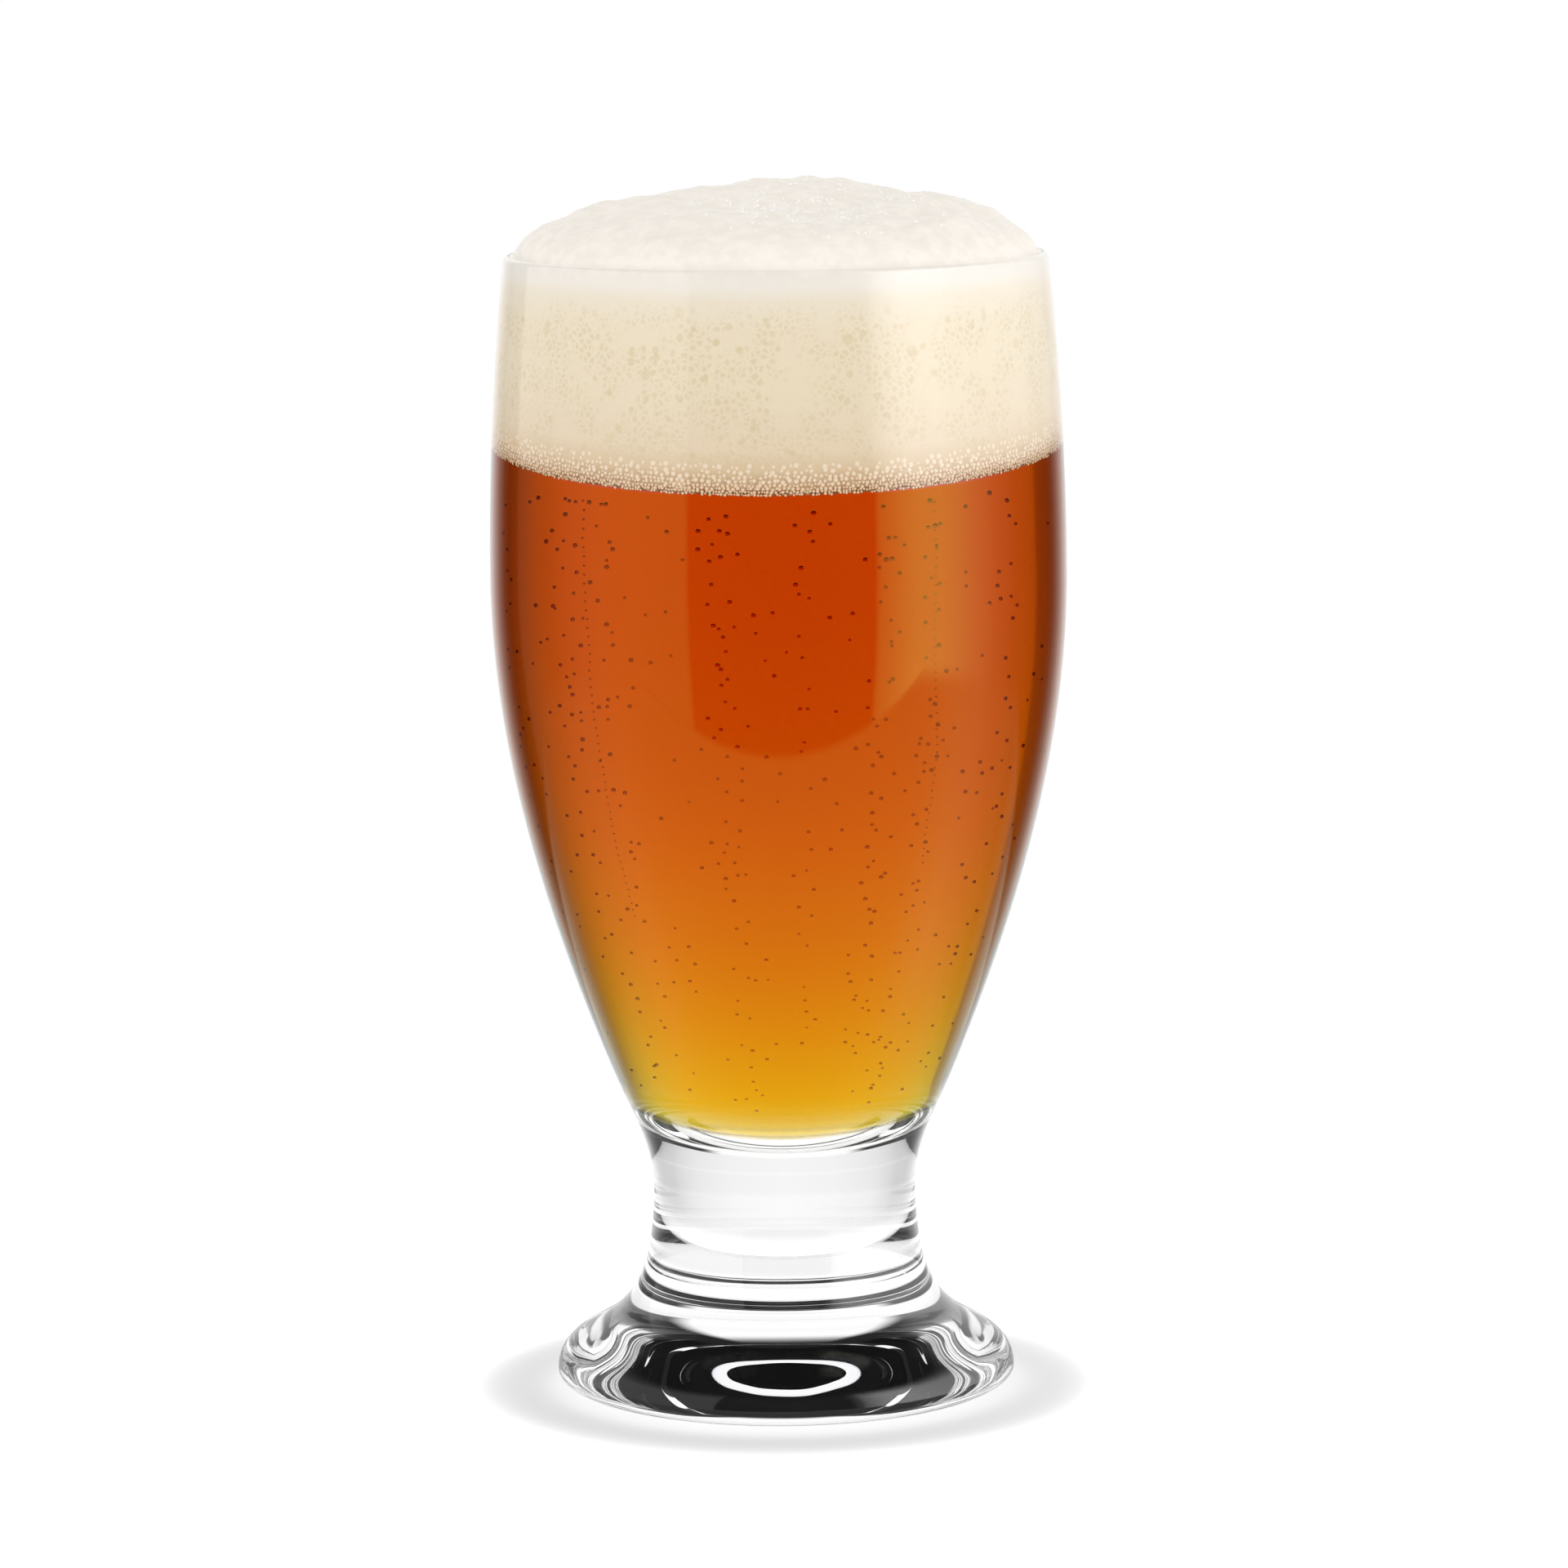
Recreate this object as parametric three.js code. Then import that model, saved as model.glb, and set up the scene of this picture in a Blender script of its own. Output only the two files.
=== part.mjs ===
// A footed ale glass with ale and foam in it: a tulip bowl, a thick waisted stem and a flared foot that are
// melted together at flat joints, the ale, and the foam head that stands over the rim.
// Millimetres, +Z up, standing on z = 0 with the glass's axis on Z. The front faces -Y.
import * as THREE from "three";

// Foot: from the table up to its joint with the stem
const FOOT_HEIGHT = 19;
const FOOT_RADIUS = 31.4;
const FOOT_EDGE_HEIGHT = 2; // the widest point, above the table
const FOOT_SHOULDER_HEIGHT = 8.6; // where the hollow flare turns over into the rounded edge
const FOOT_SHOULDER_INSET = 6.2; // from the widest point in to that shoulder
const FOOT_SHOULDER_FALL = 32.5; // degrees below level
const FOOT_UNDERCUT = 3.9; // from the widest point in to the resting ring
const REST_RING_WIDTH = 2;
const FOOT_HOLLOW_DEPTH = 3.6; // the underside is dished, so only the ring touches the table

// Stem: a solid waist between the two joints
const STEM_LENGTH = 11.5;
const WAIST_RADIUS = 18;
const WAIST_DROP = 3; // the narrowest point, below the bowl's joint
const STEM_TOP_FLARE = 0.22; // how much wider than the waist each end is
const STEM_FOOT_FLARE = 0.68;

// Bowl: from its joint with the stem up to the rim
const BOWL_HEIGHT = 124.5;
const TAPER_HEIGHT = 12.7; // where the bowl's side is at its steepest lean, above the joint
const TAPER_RADIUS = 23.1;
const TAPER_LEAN = 0.414; // radius gained per millimetre of height there
const BELLY_DROP = 43.4; // the widest point, below the rim
const BELLY_RADIUS = 39.1;
const RIM_RADIUS = 36.8;
const RIM_LEAN = 0.1; // radius lost per millimetre of height at the rim
const RIM_WALL = 1.5;
const HEEL_WALL = 3; // the wall grows towards the floor, as in a blown bowl
const FLOOR_THICKNESS = 4;
const FLOOR_DISH = 9; // height over which the inside floor curves up into the wall

// Ale and foam
const CONTENTS_GAP = 0.3; // kept between the contents and the inside of the bowl
const FOAM_DEPTH = 28.5; // from the rim down to the ale
const CROWN_RISE = 9; // how far the foam stands above the rim
const CROWN_FULLNESS = 2.6; // higher is flatter on top
const CROWN_EDGE = 0.55; // lower is steeper at the rim
const CROWN_SLUMP = 1.3; // how much the crown sinks towards its left edge
const DIMPLE_DEPTH = 2.5; // the hollow where the last of the pour sank in
const DIMPLE_RADIUS = 9.5;
const DIMPLE_RIGHT = 3;
const DIMPLE_FRONT = 5;

// Smoothness
const SEGMENTS = 48;
const SIDE_STEPS = 7;
const CURVE_STEPS = 7;
const LIP_STEPS = 4;
const CROWN_STEPS = 12;
const STEEP_REACH = 0.44; // how far a curve's handle reaches at an upright end, as a share of its chord
const SHOULDER_REACH = 0.3;

// Heights that follow from the stack of foot, stem and bowl
const bowlBase = FOOT_HEIGHT + STEM_LENGTH;
const waistHeight = bowlBase - WAIST_DROP;
const rimHeight = bowlBase + BOWL_HEIGHT;
const lipRadius = RIM_WALL / 2;
const lipBase = rimHeight - lipRadius;
const floorHeight = bowlBase + FLOOR_THICKNESS;
const dishTop = floorHeight + FLOOR_DISH;
const aleHeight = rimHeight - FOAM_DEPTH;

const point = (radius, height) => new THREE.Vector2(radius, height);

// Evenly spaced shares from 0 to 1, both ends included.
const shares = (steps) => Array.from({ length: steps + 1 }, (_, i) => i / steps);

// The solid that a profile of radius and height sweeps round the glass's axis.
function turned(profile) {
  return new THREE.LatheGeometry(profile, SEGMENTS).rotateX(Math.PI / 2);
}

// A smooth curve between two points that leaves and arrives in the given directions.
function curve(from, leaving, fromReach, to, arriving, toReach) {
  const chord = from.distanceTo(to);
  const start = leaving.clone().setLength(chord * fromReach).add(from);
  const end = arriving.clone().setLength(-chord * toReach).add(to);
  return new THREE.CubicBezierCurve(from, start, end, to).getPoints(CURVE_STEPS);
}

// Stem radius at a height: the waist opens to each joint as a parabola.
const stemEnds = {
  foot: { flare: STEM_FOOT_FLARE, length: STEM_LENGTH - WAIST_DROP },
  bowl: { flare: STEM_TOP_FLARE, length: WAIST_DROP },
};
function stemRadius(height) {
  const end = height < waistHeight ? stemEnds.foot : stemEnds.bowl;
  return WAIST_RADIUS + end.flare * ((height - waistHeight) / end.length) ** 2;
}
const flareLean = (end) => (2 * end.flare) / end.length;

// Bowl radius at a height: smooth pieces between stations of height, radius and lean.
const bowlStations = [
  { z: bowlBase, r: WAIST_RADIUS + STEM_TOP_FLARE, lean: flareLean(stemEnds.bowl) },
  { z: bowlBase + TAPER_HEIGHT, r: TAPER_RADIUS, lean: TAPER_LEAN },
  { z: rimHeight - BELLY_DROP, r: BELLY_RADIUS, lean: 0 },
  { z: lipBase, r: RIM_RADIUS, lean: -RIM_LEAN },
];
function between(low, high, height) {
  const span = high.z - low.z;
  const t = (height - low.z) / span;
  const fromLow = low.r * (1 + 2 * t) + low.lean * span * t;
  const fromHigh = high.r * (3 - 2 * t) - high.lean * span * (1 - t);
  return fromLow * (1 - t) ** 2 + fromHigh * t ** 2;
}
function bowlRadius(height) {
  const upper = bowlStations.findIndex((station, i) => i > 0 && height <= station.z);
  const high = upper < 0 ? bowlStations.length - 1 : upper;
  return between(bowlStations[high - 1], bowlStations[high], height);
}

// Inside radius of the bowl's wall, which thickens from the rim down to the floor.
function wallInside(height) {
  const down = (lipBase - height) / (lipBase - floorHeight);
  return bowlRadius(height) - RIM_WALL - (HEEL_WALL - RIM_WALL) * down ** 2;
}

// Inside of the bowl from the floor's centre up to a height, moved off the glass by a gap.
function insideProfile(top, gap) {
  const dish = shares(CURVE_STEPS).map((share) => {
    const turn = (share * Math.PI) / 2;
    const height = floorHeight + FLOOR_DISH * (1 - Math.cos(turn));
    return point(wallInside(height) * Math.sin(turn), height);
  });
  const wall = shares(2 * SIDE_STEPS).map((share) => {
    const height = dishTop + (top - dishTop) * share;
    return point(wallInside(height), height);
  });
  const line = [...dish, ...wall.slice(1)];
  return line.map((at, i) => {
    const before = line[Math.max(i - 1, 0)];
    const after = line[Math.min(i + 1, line.length - 1)];
    const along = after.clone().sub(before).normalize();
    const off = point(at.x - along.y * gap, at.y + along.x * gap);
    return i === 0 ? point(0, floorHeight + gap) : off;
  });
}

// Foot: dished underside, flat resting ring, rounded edge, shoulder and flare up to the stem's joint.
function footProfile() {
  const ringOuter = FOOT_RADIUS - FOOT_UNDERCUT;
  const ringInner = ringOuter - REST_RING_WIDTH;
  const underside = shares(CURVE_STEPS).map((share) =>
    point(ringInner * share, FOOT_HOLLOW_DEPTH * (1 - share ** 2)),
  );
  const underEdge = shares(CURVE_STEPS).map((share) => {
    const turn = (share * Math.PI) / 2;
    const out = FOOT_UNDERCUT * Math.sin(turn);
    return point(ringOuter + out, FOOT_EDGE_HEIGHT * (1 - Math.cos(turn)));
  });
  const fall = THREE.MathUtils.degToRad(FOOT_SHOULDER_FALL);
  const inAndUp = point(-Math.cos(fall), Math.sin(fall));
  const widest = point(FOOT_RADIUS, FOOT_EDGE_HEIGHT);
  const shoulder = point(FOOT_RADIUS - FOOT_SHOULDER_INSET, FOOT_SHOULDER_HEIGHT);
  const joint = point(stemRadius(FOOT_HEIGHT), FOOT_HEIGHT);
  const up = point(-flareLean(stemEnds.foot), 1);
  const edge = curve(widest, point(0, 1), STEEP_REACH, shoulder, inAndUp, SHOULDER_REACH);
  const flare = curve(shoulder, inAndUp, SHOULDER_REACH, joint, up, STEEP_REACH);
  return [...underside, ...underEdge, ...edge.slice(1), ...flare.slice(1), point(0, FOOT_HEIGHT)];
}

// Stem: solid glass between its two flat joints.
function stemProfile() {
  const side = shares(SIDE_STEPS).map((share) => {
    const height = FOOT_HEIGHT + STEM_LENGTH * share;
    return point(stemRadius(height), height);
  });
  return [point(0, FOOT_HEIGHT), ...side, point(0, bowlBase)];
}

// Bowl: flat joint, outside up to the fire-rounded lip, then the inside down to the dished floor.
function bowlProfile() {
  const outside = bowlStations.slice(1).flatMap((high, i) => {
    const low = bowlStations[i];
    return shares(SIDE_STEPS)
      .slice(i === 0 ? 0 : 1)
      .map((share) => low.z + (high.z - low.z) * share)
      .map((height) => point(between(low, high, height), height));
  });
  const lip = shares(LIP_STEPS).map((share) => {
    const turn = share * Math.PI;
    const radius = RIM_RADIUS - lipRadius + lipRadius * Math.cos(turn);
    return point(radius, lipBase + lipRadius * Math.sin(turn));
  });
  const inside = insideProfile(lipBase, 0).reverse();
  return [point(0, bowlBase), ...outside, ...lip.slice(1, -1), ...inside];
}

// Ale: fills the bowl up to the foam.
function aleProfile() {
  const side = insideProfile(aleHeight, CONTENTS_GAP);
  const edge = point(wallInside(aleHeight) - CONTENTS_GAP, aleHeight);
  return [...side.slice(0, -1), edge, point(0, aleHeight)];
}

// Foam head: lies on the ale, fills the rest of the bowl and crowns over the rim.
function foamGeometry() {
  const crownRadius = wallInside(lipBase) - CONTENTS_GAP;
  const side = shares(SIDE_STEPS).map((share) => {
    const height = aleHeight + (lipBase - aleHeight) * share;
    return point(wallInside(height) - CONTENTS_GAP, height);
  });
  const crown = shares(CROWN_STEPS).map((share) => {
    const reach = Math.cos((share * Math.PI) / 2);
    const rise = CROWN_RISE * (1 - reach ** CROWN_FULLNESS) ** CROWN_EDGE;
    return point(share === 1 ? 0 : crownRadius * reach, rimHeight + rise);
  });
  const foam = turned([point(0, aleHeight), ...side, ...crown]);
  const places = foam.getAttribute("position");
  for (let i = 0; i < places.count; i += 1) {
    const above = places.getZ(i) - rimHeight;
    if (above <= 0) continue;
    const away = Math.hypot(places.getX(i) - DIMPLE_RIGHT, places.getY(i) + DIMPLE_FRONT);
    const dimple = DIMPLE_DEPTH * Math.exp(-((away / DIMPLE_RADIUS) ** 2));
    const slump = CROWN_SLUMP * Math.max(-places.getX(i) / crownRadius, 0);
    places.setZ(i, rimHeight + above * (1 - (dimple + slump) / CROWN_RISE));
  }
  return foam;
}

const clearGlass = () =>
  new THREE.MeshStandardMaterial({
    color: 0xf2f7f6,
    roughness: 0.03,
    metalness: 0,
    transparent: true,
    opacity: 0.3,
  });
const amberAle = new THREE.MeshStandardMaterial({ color: 0xc65a0c, roughness: 0.05, metalness: 0 });
const creamFoam = new THREE.MeshStandardMaterial({ color: 0xf3e6cc, roughness: 0.9, metalness: 0 });

function piece(name, geometry, material) {
  const mesh = new THREE.Mesh(geometry, material);
  mesh.name = name;
  return mesh;
}

const aleGlass = new THREE.Group();
aleGlass.add(
  piece("foot", turned(footProfile()), clearGlass()),
  piece("stem", turned(stemProfile()), clearGlass()),
  piece("bowl", turned(bowlProfile()), clearGlass()),
  piece("ale", turned(aleProfile()), amberAle),
  piece("foam_head", foamGeometry(), creamFoam),
);

export default aleGlass;
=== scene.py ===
import math
import random

import bpy
from mathutils import Matrix, Vector


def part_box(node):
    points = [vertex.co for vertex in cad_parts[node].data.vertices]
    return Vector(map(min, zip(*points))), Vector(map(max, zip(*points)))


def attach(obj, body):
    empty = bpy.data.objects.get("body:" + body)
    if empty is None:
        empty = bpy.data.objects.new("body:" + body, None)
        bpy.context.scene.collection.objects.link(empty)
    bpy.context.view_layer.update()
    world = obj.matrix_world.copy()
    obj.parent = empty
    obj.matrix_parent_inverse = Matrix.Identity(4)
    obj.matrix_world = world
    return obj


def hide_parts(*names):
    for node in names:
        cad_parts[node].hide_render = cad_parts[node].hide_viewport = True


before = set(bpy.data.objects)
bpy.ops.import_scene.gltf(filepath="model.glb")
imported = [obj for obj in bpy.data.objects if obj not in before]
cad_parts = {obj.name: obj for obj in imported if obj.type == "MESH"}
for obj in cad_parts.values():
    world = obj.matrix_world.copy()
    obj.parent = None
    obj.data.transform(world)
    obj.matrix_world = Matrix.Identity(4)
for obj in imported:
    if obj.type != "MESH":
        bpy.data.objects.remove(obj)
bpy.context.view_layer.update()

MM = 0.001

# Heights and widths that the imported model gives, in metres
FOOT_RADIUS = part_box("foot")[1].x
FOOT_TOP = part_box("foot")[1].z
BOWL_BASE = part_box("bowl")[0].z
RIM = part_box("bowl")[1].z
BELLY_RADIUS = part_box("bowl")[1].x
ALE_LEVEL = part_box("ale")[1].z

# The foot: its dished underside, rest ring, rounded edge, shoulder and flare
FOOT_EDGE_HEIGHT = 2 * MM
FOOT_SHOULDER_HEIGHT = 8.6 * MM
FOOT_SHOULDER_RADIUS = FOOT_RADIUS - 6.2 * MM
FOOT_SHOULDER_FALL = math.radians(32.5)
FOOT_RING_OUTSIDE = FOOT_RADIUS - 3.9 * MM
FOOT_RING_INSIDE = FOOT_RING_OUTSIDE - 2 * MM
FOOT_HOLLOW_DEPTH = 3.6 * MM
STEEP_REACH = 0.44
SHOULDER_REACH = 0.3

# The stem's waist and how far it flares to the bowl and to the foot
WAIST_RADIUS = 18 * MM
WAIST_HEIGHT = BOWL_BASE - 3 * MM
STEM_TOP_FLARE = 0.22 * MM
STEM_FOOT_FLARE = 0.68 * MM

# The bowl's stations and its wall
TAPER_HEIGHT = BOWL_BASE + 12.7 * MM
TAPER_RADIUS = 23.1 * MM
TAPER_LEAN = 0.414
BELLY_HEIGHT = RIM - 43.4 * MM
RIM_RADIUS = 36.8 * MM
RIM_LEAN = 0.1
RIM_WALL = 1.5 * MM
HEEL_WALL = 3 * MM
FLOOR_DISH = 9 * MM
BOWL_FLOOR = BOWL_BASE + 4 * MM
LIP_RADIUS = RIM_WALL / 2
LIP_BASE = RIM - LIP_RADIUS

# Wet contact: the ale and the foam reach this far into the glass, so that no air is left between
ALE_CONTACT = 0.04 * MM
FOAM_CONTACT = 0.08 * MM

# The ale's line on the wall, lowest at the front and back and higher at both sides
LINE_DROP = 0.6 * MM
LINE_RISE = 3.9 * MM
LINE_ROUNDING = 0.14
LINE_REACH = 14 * MM
LINE_OVERLAP = 0.3 * MM
FOAM_SKIRT = 2 * MM
LEVEL_SHARES = [0.75, 0.4, 0]

# Rings close below the ale's top edge and the lip, which keep these edges crisp
ALE_WALL_ENDS = 0.5 * MM
ALE_EDGE_RING = 0.06 * MM
FOAM_BELOW_LIP = 0.4 * MM

# The foam's crown above the rim
CROWN_RADIUS = 35.2 * MM
CROWN_RISE = 9 * MM
CROWN_FULLNESS = 2.6
CROWN_EDGE = 0.55
CROWN_SLUMP = 1.3 * MM
DIMPLE_PLACE = Vector((5 * MM, -18 * MM, 0))
DIMPLE_RADIUS = 9.5 * MM
DIMPLE_DEPTH = 2.4 * MM
RIDGE_PLACE = Vector((5 * MM, 9 * MM, 0))
RIDGE_RADIUS = 7 * MM
RIDGE_RISE = 1.2 * MM

# How finely the turned pieces are drawn
GLASS_STEPS = 192
FOAM_STEPS = 320


def scaled_steps(count):
    """Shares from just above 0 up to 1, in equal steps."""
    return [step / count for step in range(1, count + 1)]


def between(low, high, height):
    """Radius at a height on the smooth curve between two stations of height, radius and lean."""
    span = high[0] - low[0]
    share = (height - low[0]) / span
    rest = 1 - share
    lower = (low[1] * (1 + 2 * share) + low[2] * span * share) * rest * rest
    upper = (high[1] * (3 - 2 * share) - high[2] * span * rest) * share * share
    return lower + upper


def bowl_radius(height):
    """Outside radius of the bowl."""
    stations = [
        (BOWL_BASE, WAIST_RADIUS + STEM_TOP_FLARE, 2 * STEM_TOP_FLARE / (BOWL_BASE - WAIST_HEIGHT)),
        (TAPER_HEIGHT, TAPER_RADIUS, TAPER_LEAN),
        (BELLY_HEIGHT, BELLY_RADIUS, 0),
        (LIP_BASE, RIM_RADIUS, -RIM_LEAN),
    ]
    for low, high in zip(stations, stations[1:]):
        if height <= high[0]:
            return between(low, high, height)
    return RIM_RADIUS


def wall_inside(height):
    """Inside radius of the bowl, whose wall thickens towards its heel."""
    depth = (LIP_BASE - height) / (LIP_BASE - BOWL_FLOOR)
    return bowl_radius(height) - RIM_WALL - (HEEL_WALL - RIM_WALL) * depth * depth


def stem_radius(height):
    """Radius of the waisted stem."""
    if height > WAIST_HEIGHT:
        return WAIST_RADIUS + STEM_TOP_FLARE * ((height - WAIST_HEIGHT) / (BOWL_BASE - WAIST_HEIGHT)) ** 2
    return WAIST_RADIUS + STEM_FOOT_FLARE * ((WAIST_HEIGHT - height) / (WAIST_HEIGHT - FOOT_TOP)) ** 2


def bent_run(start, start_way, start_reach, end, end_way, end_reach, count):
    """Points of a curve that leaves start and reaches end in the two given directions."""
    chord = (end - start).length
    leaving = start + start_way.normalized() * chord * start_reach
    arriving = end - end_way.normalized() * chord * end_reach
    points = []
    for share in scaled_steps(count):
        rest = 1 - share
        points.append(
            start * rest ** 3
            + leaving * 3 * rest * rest * share
            + arriving * 3 * rest * share * share
            + end * share ** 3
        )
    return points


def foot_outline():
    """The foot from the axis underneath, round its edge, up to the stem, as (radius, height) points."""
    hollow_steps = 16
    edge_steps = 10
    curve_steps = 18
    points = [Vector((0, FOOT_HOLLOW_DEPTH))]
    for share in scaled_steps(hollow_steps):
        points.append(Vector((FOOT_RING_INSIDE * share, FOOT_HOLLOW_DEPTH * (1 - share * share))))
    points.append(Vector((FOOT_RING_OUTSIDE, 0)))
    for share in scaled_steps(edge_steps):
        turn = share * math.pi / 2
        out = FOOT_RING_OUTSIDE + (FOOT_RADIUS - FOOT_RING_OUTSIDE) * math.sin(turn)
        points.append(Vector((out, FOOT_EDGE_HEIGHT * (1 - math.cos(turn)))))
    widest = points[-1]
    shoulder = Vector((FOOT_SHOULDER_RADIUS, FOOT_SHOULDER_HEIGHT))
    joint = Vector((stem_radius(FOOT_TOP), FOOT_TOP))
    shoulder_way = Vector((-math.cos(FOOT_SHOULDER_FALL), math.sin(FOOT_SHOULDER_FALL)))
    flare_way = Vector((-2 * STEM_FOOT_FLARE / (WAIST_HEIGHT - FOOT_TOP), 1))
    points += bent_run(
        widest, Vector((0, 1)), STEEP_REACH, shoulder, shoulder_way, SHOULDER_REACH, curve_steps
    )
    points += bent_run(
        shoulder, shoulder_way, SHOULDER_REACH, joint, flare_way, STEEP_REACH, curve_steps
    )
    return points


def inside_outline(reach):
    """The inside of the bowl from beside its dished floor's middle up to the lip, moved out by reach."""
    dish_steps = 16
    wall_steps = 64
    points = []
    for share in scaled_steps(dish_steps):
        turn = share * math.pi / 2
        height = BOWL_FLOOR + FLOOR_DISH * (1 - math.cos(turn))
        out = wall_inside(height) * math.sin(turn)
        points.append(Vector((out + reach * math.sin(turn), height - reach * math.cos(turn))))
    dish_top = BOWL_FLOOR + FLOOR_DISH
    for share in scaled_steps(wall_steps):
        height = dish_top + (LIP_BASE - dish_top) * share
        points.append(Vector((wall_inside(height) + reach, height)))
    return points


def glass_outline():
    """The whole glass: foot, stem and bowl outside, over the lip, and down the bowl's inside."""
    stem_steps = 14
    bowl_steps = 80
    lip_steps = 10
    points = foot_outline()
    for share in scaled_steps(stem_steps):
        height = FOOT_TOP + (BOWL_BASE - FOOT_TOP) * share
        points.append(Vector((stem_radius(height), height)))
    for share in scaled_steps(bowl_steps):
        height = BOWL_BASE + (LIP_BASE - BOWL_BASE) * share
        points.append(Vector((bowl_radius(height), height)))
    for share in scaled_steps(lip_steps)[:-1]:
        turn = share * math.pi
        points.append(Vector((RIM_RADIUS - LIP_RADIUS + LIP_RADIUS * math.cos(turn),
                              LIP_BASE + LIP_RADIUS * math.sin(turn))))
    points += reversed(inside_outline(0))
    points.append(Vector((0, BOWL_FLOOR)))
    return points


def line_height(turn):
    """Height of the ale's line on the wall at a turn about the axis."""
    flatness = math.hypot(math.cos(turn), LINE_ROUNDING) / math.hypot(1, LINE_ROUNDING)
    return ALE_LEVEL - LINE_DROP + LINE_RISE * (1 - flatness)


def follow_line(piece, wall_radius, skirt):
    """Moves the part of a turned piece near the flat ale level to the ale's line, along its wall.

    Further in than the skirt, the level lies as high as the line's highest place."""
    on_wall = 0.05 * MM
    highest = line_height(math.pi / 2) - ALE_LEVEL
    for vertex in piece.data.vertices:
        share = 1 - abs(vertex.co.z - ALE_LEVEL) / LINE_REACH
        if share <= 0:
            continue
        out = math.hypot(vertex.co.x, vertex.co.y)
        on_line = line_height(math.atan2(vertex.co.x, -vertex.co.y)) - ALE_LEVEL
        inward = wall_radius(vertex.co.z) - out
        if inward < on_wall:
            vertex.co.z += on_line * share
            stretch = wall_radius(vertex.co.z) / out
            vertex.co.x *= stretch
            vertex.co.y *= stretch
        elif skirt:
            inside = min(inward / skirt, 1)
            vertex.co.z += (on_line + (highest - on_line) * inside) * share


def ale_wall(height):
    """Radius of the ale, which reaches a little into the glass."""
    return wall_inside(height) + ALE_CONTACT


def foam_wall(height):
    """Radius of the foam's side, which reaches a little into the glass."""
    return wall_inside(height) + FOAM_CONTACT


def level_radii(edge):
    """Radii of the ale's level from the wall to the axis, closer together near the wall."""
    return [edge - FOAM_SKIRT / 2, edge - FOAM_SKIRT] + [edge * share for share in LEVEL_SHARES]


def ale_outline():
    """The ale from the bowl's floor up to its level."""
    top = ALE_LEVEL + LINE_OVERLAP
    points = [Vector((0, BOWL_FLOOR - ALE_CONTACT))]
    points += [point for point in inside_outline(ALE_CONTACT) if point.y < top - ALE_WALL_ENDS]
    ring = top - ALE_EDGE_RING
    points.append(Vector((ale_wall(ring), ring)))
    points += [Vector((out, top)) for out in [ale_wall(top)] + level_radii(ale_wall(top))]
    return points


def crown_rise(out):
    """Height of the foam's crown above the rim, at a distance out from the axis."""
    share = min(out / CROWN_RADIUS, 1)
    return CROWN_RISE * (1 - share ** CROWN_FULLNESS) ** CROWN_EDGE


def foam_outline():
    """The foam from the ale up the wall to the lip, and over its crown."""
    side_steps = 44
    crown_steps = 90
    side_top = LIP_BASE - FOAM_BELOW_LIP
    points = [Vector((out, ALE_LEVEL)) for out in reversed(level_radii(foam_wall(ALE_LEVEL)))]
    for share in [0] + scaled_steps(side_steps):
        height = ALE_LEVEL + (side_top - ALE_LEVEL) * share
        points.append(Vector((foam_wall(height), height)))
    for share in [0] + scaled_steps(crown_steps):
        out = CROWN_RADIUS * math.cos(share * math.pi / 2)
        points.append(Vector((out, RIM + crown_rise(out))))
    points[-1].x = 0
    return points


def turned_piece(name, outline, steps):
    """A closed piece spun from an outline of (radius, height) points about the glass's axis."""
    same_place = 0.002 * MM
    start = Vector((outline[0].x, 0, outline[0].y))
    bpy.ops.mesh.primitive_plane_add(size=MM, location=start)
    piece = bpy.context.object
    piece.name = name
    bpy.ops.object.transform_apply(location=True, rotation=True, scale=True)
    bpy.ops.object.mode_set(mode="EDIT")
    bpy.ops.mesh.select_all(action="SELECT")
    bpy.ops.mesh.merge(type="CENTER")
    for here, there in zip(outline, outline[1:]):
        step = (there.x - here.x, 0, there.y - here.y)
        bpy.ops.mesh.extrude_vertices_move(TRANSFORM_OT_translate={"value": step})
    bpy.ops.mesh.select_all(action="SELECT")
    bpy.ops.mesh.spin(steps=steps, angle=2 * math.pi, center=(0, 0, 0), axis=(0, 0, 1))
    bpy.ops.mesh.select_all(action="SELECT")
    bpy.ops.mesh.remove_doubles(threshold=same_place)
    bpy.ops.mesh.normals_make_consistent(inside=False)
    bpy.ops.object.mode_set(mode="OBJECT")
    bpy.ops.object.shade_smooth()
    return piece


def small_ball(height_share):
    """A ball of radius 1 and few faces at the origin, flattened to a share of its height."""
    bpy.ops.mesh.primitive_uv_sphere_add(segments=8, ring_count=6, radius=1)
    ball = bpy.context.object
    bpy.ops.object.mode_set(mode="EDIT")
    bpy.ops.mesh.select_all(action="SELECT")
    bpy.ops.transform.resize(value=(1, 1, height_share))
    bpy.ops.object.mode_set(mode="OBJECT")
    bpy.ops.object.shade_smooth()
    return ball


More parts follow.
